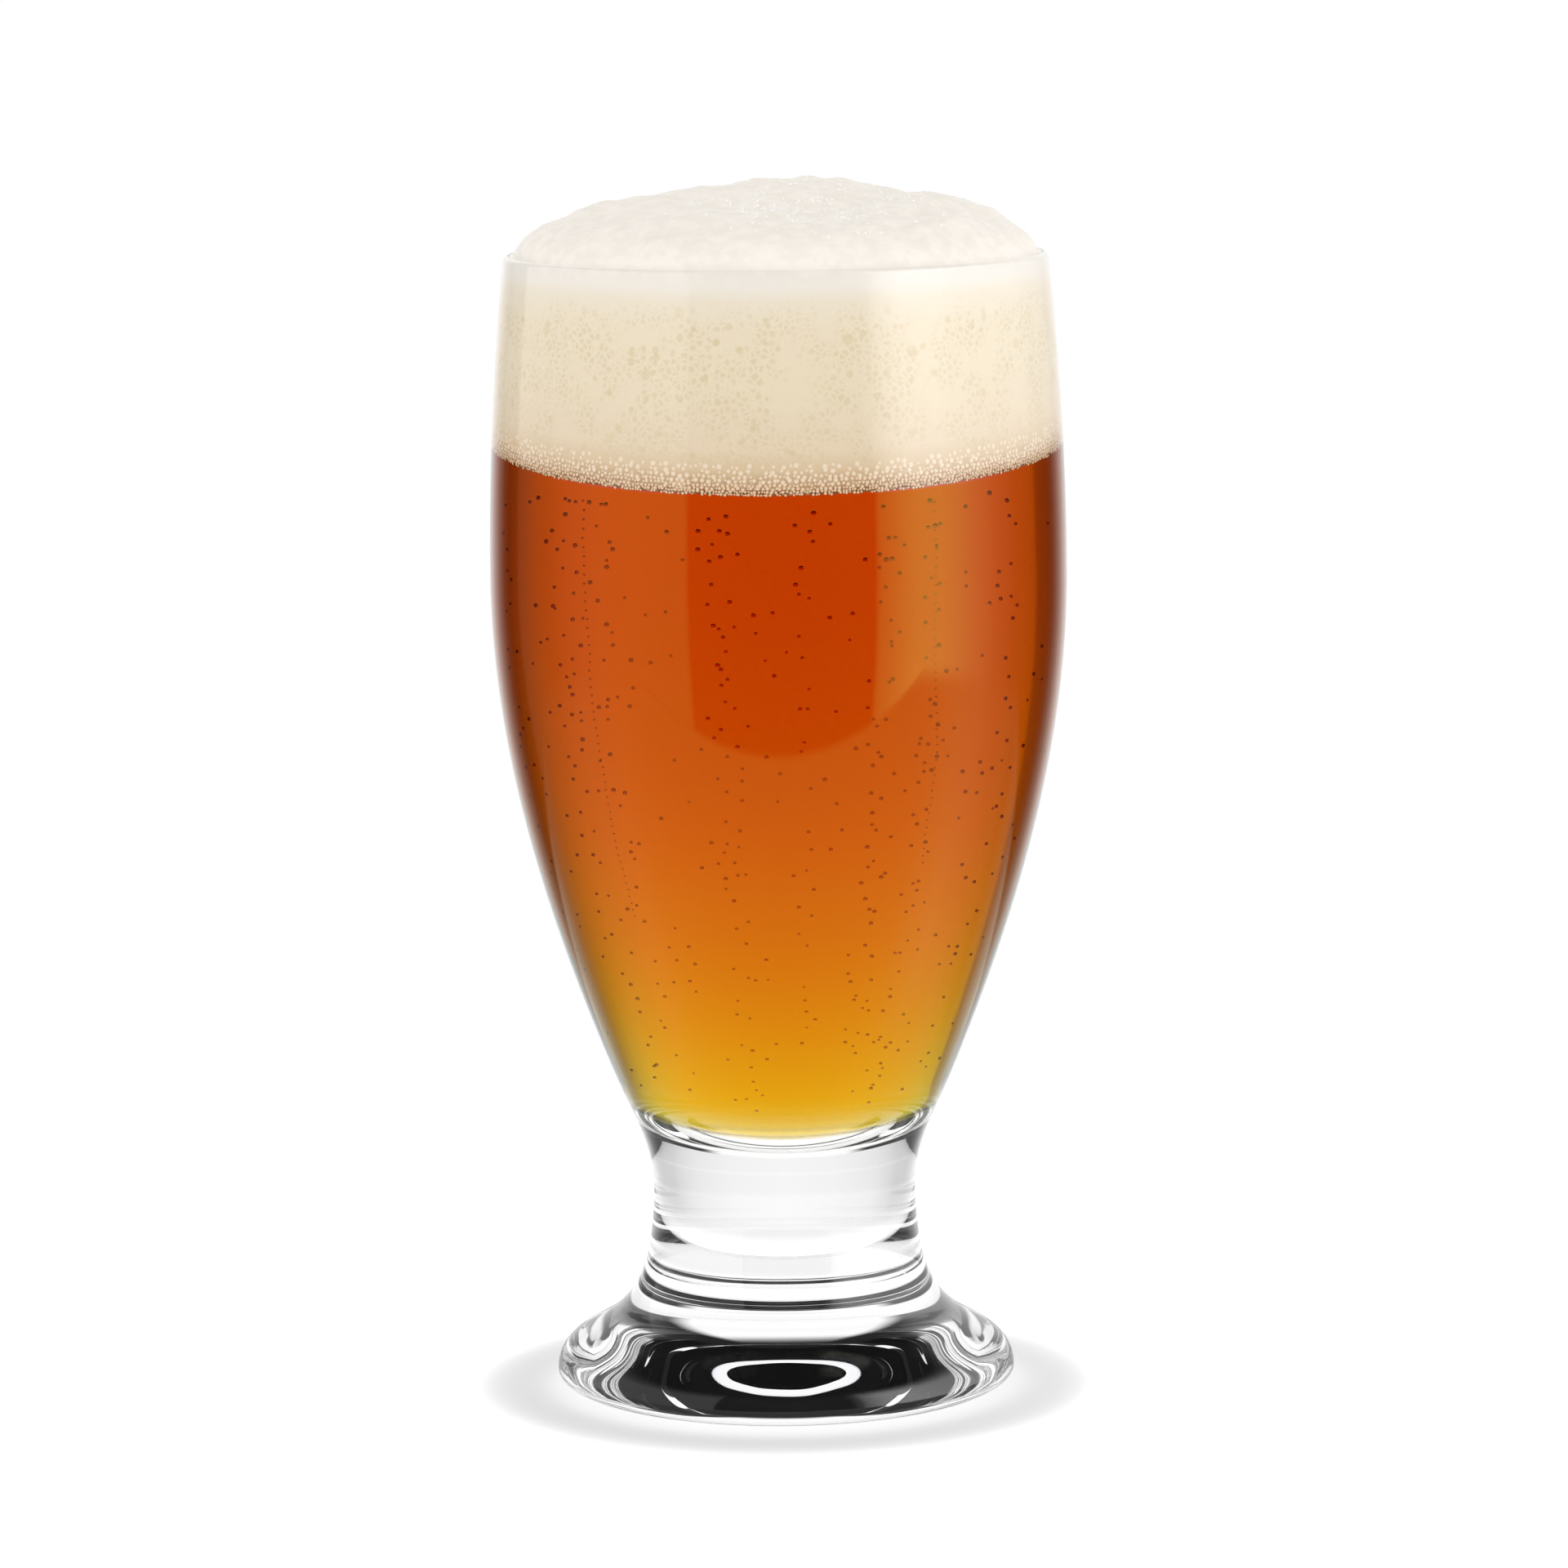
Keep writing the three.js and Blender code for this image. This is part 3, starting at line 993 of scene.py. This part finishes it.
def make_glass():
    """The glass, one clear body fused from foot, stem and bowl."""
    glass = turned_piece("clear_glass", glass_outline(), GLASS_STEPS)
    follow_line(glass, bowl_radius, 0)
    dry, wet, round_ale, foot = range(4)
    glass.data.materials.append(clear_glass("dry_glass", (1, 1, 1), BOWL_WAVES))
    glass.data.materials.append(clear_glass("wet_glass", (0, 0, 0), BOWL_WAVES))
    glass.data.materials.append(clear_glass("glass_round_ale", ALE_VEIL, BOWL_WAVES))
    glass.data.materials.append(clear_glass("foot_glass", (1, 1, 1), FOOT_WAVES))
    for face in glass.data.polygons:
        if face.center.z < FOOT_TOP:
            face.material_index = foot
        elif is_wet_wall(face):
            face.material_index = wet
        elif is_round_ale(face):
            face.material_index = round_ale
        else:
            face.material_index = dry
    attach(glass, "root")
    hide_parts("foot", "stem", "bowl")


def make_ale(draw):
    """The ale, with its bubbles as hollows in it."""
    ale = turned_piece("ale_with_bubbles", ale_outline(), GLASS_STEPS)
    follow_line(ale, ale_wall, FOAM_SKIRT)
    bubble = small_ball(BUBBLE_HEIGHT_SHARE)
    bpy.ops.object.mode_set(mode="EDIT")
    bpy.ops.mesh.select_all(action="SELECT")
    bpy.ops.mesh.flip_normals()
    bpy.ops.object.mode_set(mode="OBJECT")
    ale.data.materials.append(amber_ale())
    bubble.data.materials.append(bubble_film())
    joined(ale, scattered_copies(bubble, bubble_places(draw)))
    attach(ale, "root")
    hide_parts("ale")


def swell_at(place, middle, radius):
    """1 over the middle of a round swelling or hollow of the crown, falling smoothly to 0 around it."""
    return math.exp(-((place - middle).to_2d().length / radius) ** 2)


def mark_rise(piece):
    """Marks each point of a foam piece with its share of the way from the ale's line up to the rim."""
    rise = piece.data.attributes.new("foam_rise", "FLOAT", "POINT")
    for vertex in piece.data.vertices:
        line = line_height(math.atan2(vertex.co.x, -vertex.co.y))
        rise.data[vertex.index].value = min(max((vertex.co.z - line) / (RIM - line), 0), 1)


# Lumps of the crown: their size, their height and the way in which they swell
CROWN_LUMPS = [
    ("broad_lumps", 10 * MM, 1.7 * MM, "Z"),
    ("middle_lumps", 5 * MM, 0.8 * MM, "Z"),
    ("small_lumps", 2 * MM, 0.35 * MM, "NORMAL"),
]


def shape_crown(foam):
    """Sinks the crown's dimple and left side, lifts its ridge, and marks its points for the lumps."""
    crown = foam.vertex_groups.new(name="crown")
    for vertex in foam.data.vertices:
        above = (vertex.co.z - RIM) / CROWN_RISE
        if above > 0:
            crown.add([vertex.index], min(above * 2, 1), "REPLACE")
            sink = DIMPLE_DEPTH * swell_at(vertex.co, DIMPLE_PLACE, DIMPLE_RADIUS)
            rise = RIDGE_RISE * swell_at(vertex.co, RIDGE_PLACE, RIDGE_RADIUS)
            slump = CROWN_SLUMP * max(-vertex.co.x / CROWN_RADIUS, 0)
            vertex.co.z += (rise - sink - slump) * above


def make_foam():
    """The foam head: its side in the glass, and a lumpy crown with a dimple."""
    foam = turned_piece("foam", foam_outline(), FOAM_STEPS)
    follow_line(foam, foam_wall, FOAM_SKIRT)
    shape_crown(foam)
    for title, size, strength, way in CROWN_LUMPS:
        lumps = bpy.data.textures.new(title, "CLOUDS")
        lumps.noise_scale = size
        swell = foam.modifiers.new(title, "DISPLACE")
        swell.texture = lumps
        swell.texture_coords = "LOCAL"
        swell.direction = way
        swell.strength = strength
        swell.vertex_group = "crown"
    select_only(foam)
    for modifier in list(foam.modifiers):
        bpy.ops.object.modifier_apply(modifier=modifier.name)
    mark_rise(foam)
    foam.data.materials.append(cream_foam())
    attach(foam, "root")
    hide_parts("foam_head")
    return foam


def make_beads(draw, foam):
    """The wet beads of the foam, along the ale's line and in the crown's dimple."""
    beads = scattered_copies(foam_bead(), bead_places(draw))
    beads.name = "foam_beads"
    joined(beads, scattered_copies(small_ball(1), crown_bead_places(draw, foam)))
    mark_rise(beads)
    beads.data.materials.append(wet_beads())
    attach(beads, "root")


# The studio as the glass mirrors it: levels at azimuths in degrees from the camera's side, left negative
MIRRORED_LOW = [
    (-180, 1.0), (-163, 1.0), (-156, 0.75), (-148, 0.35), (-141, 0.08), (-136, 0.02), (-128, 0.02),
    (-126, 0.12), (-105, 0.15), (-90, 0.4), (-75, 0.75), (-60, 0.92), (-37, 0.92), (-35.5, 0.1),
    (38.5, 0.1), (40, 1.2), (50, 2.3), (57, 3.0), (67, 3.0), (76, 2.2), (86, 1.2), (97, 0.5),
    (108, 0.12), (122, 0.02), (136, 0.02), (141, 0.08), (148, 0.35), (156, 0.75), (163, 1.0), (180, 1.0),
]
MIRRORED_HIGH = [
    (-180, 1.0), (-163, 1.0), (-152, 0.6), (-146, 0.35), (-129, 0.3), (-127, 0.9), (-37, 0.9),
    (-35.5, 0.12), (33, 0.12), (38.5, 0.8), (40, 1.7), (46, 3.0), (53, 4.2), (67, 4.2), (76, 3.6),
    (90, 3.0), (110, 2.3), (128, 1.4), (150, 0.85), (163, 1.0), (180, 1.0),
]

# The lower edge of the panels that the foam's part of the glass mirrors, as heights of a direction
HIGH_EDGE_BESIDE = -0.0885
HIGH_EDGE_CLIMB = 0.073
HIGH_EDGE_BLUR = 0.008

# The studio as rays find it that were turned back inside the glass: more and darker gaps
TURNED_BACK = [
    (-180, 1.05), (-163, 1.05), (-158, 0.02), (-98, 0.02), (-95, 1.1), (-75, 1.1), (-72, 0.03),
    (72, 0.03), (75, 1.2), (95, 1.2), (98, 0.02), (158, 0.02), (163, 1.05), (180, 1.05),
]

# The studio as seen through the glass: bright front, back and sides, with darker corners between
SEEN_THROUGH = [
    (-180, 1.06), (-168, 1.06), (-156, 1.0), (-152, 0.97, 1.02, 0.95), (-148, 0.92, 1.05, 0.9),
    (-141, 0.86, 1.0, 0.8), (-139, 0.52, 0.53, 0.45), (-128, 0.45), (-115, 0.85), (-102, 1.06),
    (-78, 1.06), (-45, 0.45), (-12, 1.06), (12, 1.06), (45, 0.45), (78, 1.06), (102, 1.06),
    (115, 0.8), (128, 0.45), (134, 0.4), (139, 0.54, 0.58, 0.45), (142, 0.63, 0.7, 0.5),
    (147, 0.79, 0.9, 0.6), (153, 0.95, 1.04, 0.85), (162, 1.08), (170, 1.07), (180, 1.06),
]

# The same through the solid stem, which light leaves after two faces, fewer than through the ale
SEEN_IN_STEM = [
    (-180, 0.97), (-165, 0.94), (-150, 0.86), (-135, 0.72), (-115, 0.8), (-100, 0.97), (100, 0.97),
    (115, 0.8), (135, 0.72), (150, 0.86), (165, 0.94), (180, 0.97),
]
STEM_FACES = 3

# The dark ceiling: the heights of a direction between which the panels give way to it, and its level
CEILING_STARTS = 0.5
CEILING_FULL = 0.77
BACK_CEILING_STARTS = 0.6
BACK_CEILING_FULL = 0.85
CEILING_COLOR = grey(0.02)

# Soft light on the foam and the floor, by height and by azimuth
SOFT_AT_HORIZON = 1.22
SOFT_OVERHEAD = 0.58
SOFT_ROUND = [(-180, 1.0), (-90, 0.99), (-20, 0.98), (40, 1.05), (90, 1.09), (150, 1.03), (180, 1.0)]
SOFT_EVEN_STARTS = 0.2
SOFT_EVEN_FULL = 0.5


def ring_of_panels(tree, turn, stops):
    """The studio's panels and gaps over the turn, 0 to 1, from grey levels or colours at azimuths."""
    return color_ramp(
        tree, turn, [((azimuth + 180) / 360, (3 * level)[:3]) for azimuth, *level in stops]
    )


def turn_about(tree, parts):
    """The angle about the glass's axis from the front, and the same as a share, 0 and 1 behind."""
    towards = calculated(tree, "MULTIPLY", parts.outputs["Y"], -1)
    angle = calculated(tree, "ARCTAN2", parts.outputs["X"], towards)
    return angle, calculated(tree, "MULTIPLY_ADD", angle, 0.5 / math.pi, 0.5)


def mirrored_studio(tree, height, angle, turn):
    """The panels as the glass mirrors them, lower and higher ones, under a dark ceiling."""
    half_turn = calculated(tree, "COSINE", calculated(tree, "MULTIPLY", angle, 0.5))
    edge = calculated(tree, "MULTIPLY_ADD", half_turn, HIGH_EDGE_CLIMB, HIGH_EDGE_BESIDE)
    above_edge = calculated(tree, "SUBTRACT", height, edge)
    low = ring_of_panels(tree, turn, MIRRORED_LOW)
    high = ring_of_panels(tree, turn, MIRRORED_HIGH)
    panels = faded(tree, above_edge, 0, HIGH_EDGE_BLUR, low, high)
    return faded(tree, height, CEILING_STARTS, CEILING_FULL, panels, CEILING_COLOR)


def studio_through_glass(tree, path, height, turn):
    """The studio as seen through the ale or the stem, or after light was turned back inside the glass."""
    in_stem = calculated(tree, "LESS_THAN", path.outputs["Transmission Depth"], STEM_FACES)
    ale = ring_of_panels(tree, turn, SEEN_THROUGH)
    stem = ring_of_panels(tree, turn, SEEN_IN_STEM)
    through = mixed_color(tree, in_stem, ale, stem)
    through = faded(tree, height, CEILING_STARTS, CEILING_FULL, through, CEILING_COLOR)
    back = ring_of_panels(tree, turn, TURNED_BACK)
    back = faded(tree, height, BACK_CEILING_STARTS, BACK_CEILING_FULL, back, CEILING_COLOR)
    turned_back = calculated(tree, "MINIMUM", path.outputs["Glossy Depth"], 1)
    return mixed_color(tree, turned_back, through, back)


def soft_light(tree, height, turn):
    """The level of the soft light, highest at the horizon and a little higher on the right."""
    by_height = faded(tree, height, 0, 1, grey(SOFT_AT_HORIZON), grey(SOFT_OVERHEAD))
    by_turn = ring_of_panels(tree, turn, SOFT_ROUND)
    by_turn = faded(tree, height, SOFT_EVEN_STARTS, SOFT_EVEN_FULL, by_turn, (1, 1, 1))
    return calculated(tree, "MULTIPLY", by_height, by_turn)


def make_world():
    """White to the camera, panels and dark gaps to the glass, and a soft light for the rest."""
    world = bpy.data.worlds.new("studio")
    bpy.context.scene.world = world
    world.use_nodes = True
    tree = world.node_tree
    tree.nodes.clear()
    path = node(tree, "ShaderNodeLightPath")
    way = node(tree, "ShaderNodeTexCoord").outputs["Generated"]
    parts = node(tree, "ShaderNodeSeparateXYZ", {"Vector": way})
    height = parts.outputs["Z"]
    angle, turn = turn_about(tree, parts)
    color = soft_light(tree, height, turn)
    for ray, seen in (
        ("Is Glossy Ray", mirrored_studio(tree, height, angle, turn)),
        ("Is Transmission Ray", studio_through_glass(tree, path, height, turn)),
        ("Is Camera Ray", (1, 1, 1)),
    ):
        color = mixed_color(tree, path.outputs[ray], color, seen)
    light = node(tree, "ShaderNodeBackground", {"Color": color, "Strength": 1})
    node(tree, "ShaderNodeOutputWorld", {"Surface": light.outputs["Background"]})


# The table top: where it ends, and its levels to the camera, in the glass, under the foot, where it is
# painted light that lifts the shadow seen through the glass, and as paint
FLOOR_FRONT = 240 * MM
FLOOR_BACK = 150 * MM
FLOOR_REACH = 470 * MM
FLOOR_FADE = 20 * MM
FLOOR_ROUND_FADE = 110 * MM
FLOOR_SEEN = 1.15
FLOOR_IN_GLASS = 1.1
FLOOR_PAINTED_UNDER_FOOT = 1.6
FLOOR_PAINT = 0.85
FLOOR_DROP = 0.02 * MM

# How far out the table shows through the glass, and painted light and shade round the foot by millimetres
# out: a painted pool of light next to the foot, painted shade that deepens the real shadow into a ring,
# and brighter paint beyond that washes the far shading white
SEEN_THROUGH_STARTS = 50 * MM
SEEN_THROUGH_ENDS = 90 * MM
PAINTED_LIGHT_ROUND_FOOT = [
    (24, 1.5), (28, 1.4), (30, 1.3), (32, 1.18), (34, 1.03), (36, 0.96), (38, 0.95), (40, 1.0),
    (42, 1.13), (44, 1.3), (56, 1.35),
]
PAINTED_LIGHT_REACH = 100
# The middle of the painted light and shade round the foot, a little to the front
PAINTED_LIGHT_MIDDLE = Vector((0, -1.5 * MM, 0))

# The table as the glass mirrors it, a painted glow in place of its lit paint: one level close by, and
# levels at azimuths further out that paint the studio's bright panels and dark gaps onto it
TABLE_NEAR = 0.6
TABLE_NEAR_ENDS = 60 * MM
TABLE_FAR_STARTS = 120 * MM
TABLE_MIRRORED = [
    (-180, 1.2), (-144, 1.2), (-132, 0.75), (-123, 0.28), (-112, 0.15), (-100, 0.25), (-85, 0.55),
    (-65, 0.88), (0, 0.92), (50, 0.92), (65, 1.1), (75, 1.1), (86, 0.8), (97, 0.4), (110, 0.15),
    (123, 0.28), (132, 0.75), (144, 1.2), (180, 1.2),
]


def table_to_eye(tree, path, place, out):
    """The table's paint to the camera with painted light and shade round the foot, as seen in the glass
    with painted light under the foot, and to the soft light.
    """
    from_middle = node(
        tree, "ShaderNodeVectorMath", {0: place, 1: PAINTED_LIGHT_MIDDLE}, operation="DISTANCE"
    )
    # Painted light and shade round the foot, to the camera
    painted_round_foot = color_ramp(
        tree,
        calculated(tree, "DIVIDE", from_middle.outputs["Value"], PAINTED_LIGHT_REACH * MM),
        [(far / PAINTED_LIGHT_REACH, grey(level * FLOOR_SEEN)) for far, level in PAINTED_LIGHT_ROUND_FOOT],
    )
    beside_foot = FOOT_RADIUS + 2 * FLOOR_FADE
    # Painted light under the foot, seen through the glass where the shadow falls
    in_glass = faded(tree, out, FOOT_RADIUS, beside_foot, grey(FLOOR_PAINTED_UNDER_FOOT), grey(FLOOR_IN_GLASS))
    white_and_painted_light = mixed_color(tree, path.outputs["Is Camera Ray"], in_glass, painted_round_foot)
    white_and_painted_light = mixed_color(tree, path.outputs["Is Diffuse Ray"], white_and_painted_light, grey(FLOOR_PAINT))
    return node(tree, "ShaderNodeBsdfDiffuse", {"Color": white_and_painted_light})


def table_in_mirror(tree, spot, out):
    """The table as the glass mirrors it, a painted glow in place of its lit paint."""
    _, turn = turn_about(tree, spot)
    panels = ring_of_panels(tree, turn, TABLE_MIRRORED)
    panels = faded(tree, out, TABLE_NEAR_ENDS, TABLE_FAR_STARTS, grey(TABLE_NEAR), panels)
    # A painted glow in place of the table's lit paint
    return node(tree, "ShaderNodeEmission", {"Color": panels})


def past_table(tree, path, spot, out):
    """1 where the table has ended, and where light through the glass looks past it."""
    beyond = graded(tree, out, SEEN_THROUGH_STARTS, SEEN_THROUGH_ENDS)
    past = calculated(tree, "MULTIPLY", beyond, path.outputs["Is Transmission Ray"])
    for reach, start, end in (
        (spot.outputs["Y"], FLOOR_FADE - FLOOR_FRONT, -FLOOR_FRONT),
        (spot.outputs["Y"], FLOOR_BACK - FLOOR_FADE, FLOOR_BACK),
        (out, FLOOR_REACH - FLOOR_ROUND_FADE, FLOOR_REACH),
    ):
        past = calculated(tree, "MAXIMUM", past, graded(tree, reach, start, end))
    return past


def white_table():
    """White table paint that keeps the glass's shadow, with painted light and shade round and under the
    foot, and ends softly.
    """
    material, tree = empty_material("white_table")
    path = node(tree, "ShaderNodeLightPath")
    place = object_place(tree)
    out = node(tree, "ShaderNodeVectorMath", {0: place}, operation="LENGTH").outputs["Value"]
    spot = node(tree, "ShaderNodeSeparateXYZ", {"Vector": place})
    mirrored = calculated(
        tree, "SUBTRACT", path.outputs["Is Glossy Ray"], path.outputs["Is Transmission Ray"]
    )
    paint = table_to_eye(tree, path, place, out)
    table = mixed_shader(tree, mirrored, paint, table_in_mirror(tree, spot, out))
    nothing = node(tree, "ShaderNodeBsdfTransparent")
    ended = mixed_shader(tree, past_table(tree, path, spot, out), table, nothing)
    node(tree, "ShaderNodeOutputMaterial", {"Surface": ended.outputs["Shader"]})
    return material


def make_floor():
    """The table top that the glass stands on."""
    bpy.ops.mesh.primitive_plane_add(size=2 * FLOOR_REACH, location=(0, 0, -FLOOR_DROP))
    floor = bpy.context.object
    floor.name = "floor"
    floor.data.materials.append(white_table())


# The lamp high overhead, in metres and watts
LAMP_PLACE = Vector((0.03, 0.1, 2.5))
LAMP_AIM = Vector((0, 0, 0.1))
LAMP_SIZE = 0.3
LAMP_POWER = 10


def make_lamp():
    """A lamp high overhead, which draws the shadow round the foot."""
    bpy.ops.object.light_add(type="AREA", location=LAMP_PLACE)
    lamp = bpy.context.object
    lamp.name = "top_lamp"
    lamp.data.shape = "SQUARE"
    lamp.data.size = LAMP_SIZE
    lamp.data.energy = LAMP_POWER
    lamp.rotation_euler = (LAMP_AIM - LAMP_PLACE).to_track_quat("-Z", "Y").to_euler()
    lamp.visible_transmission = False
    lamp.visible_glossy = False


# The photograph's viewpoint
CAMERA_PLACE = Vector((0.46 * MM, -880 * MM, 208.86 * MM))
CAMERA_PITCH = math.radians(8.158)
CAMERA_ROLL = math.radians(-0.55)
CAMERA_LENS = 149.76
SENSOR_WIDTH = 36


def make_camera():
    """The camera at the photograph's viewing angle."""
    camera = bpy.data.objects.new("camera", bpy.data.cameras.new("camera"))
    bpy.context.collection.objects.link(camera)
    camera.data.lens = CAMERA_LENS
    camera.data.sensor_width = SENSOR_WIDTH
    tilt = Matrix.Rotation(math.pi / 2 - CAMERA_PITCH, 4, "X")
    roll = Matrix.Rotation(CAMERA_ROLL, 4, "Z")
    camera.matrix_world = Matrix.Translation(CAMERA_PLACE) @ tilt @ roll
    bpy.context.scene.camera = camera


def set_light_paths():
    """Enough bounces for the solid glass, with light through it left to the lamps' straight way."""
    cycles = bpy.context.scene.cycles
    cycles.max_bounces = 32
    cycles.transmission_bounces = 32
    cycles.glossy_bounces = 16
    cycles.transparent_max_bounces = 32
    cycles.caustics_reflective = False
    cycles.caustics_refractive = False
    bpy.context.scene.view_settings.view_transform = "Standard"


make_camera()
make_glass()
make_ale(random.Random(11))
foam = make_foam()
make_beads(random.Random(31), foam)
make_floor()
make_lamp()
make_world()
set_light_paths()
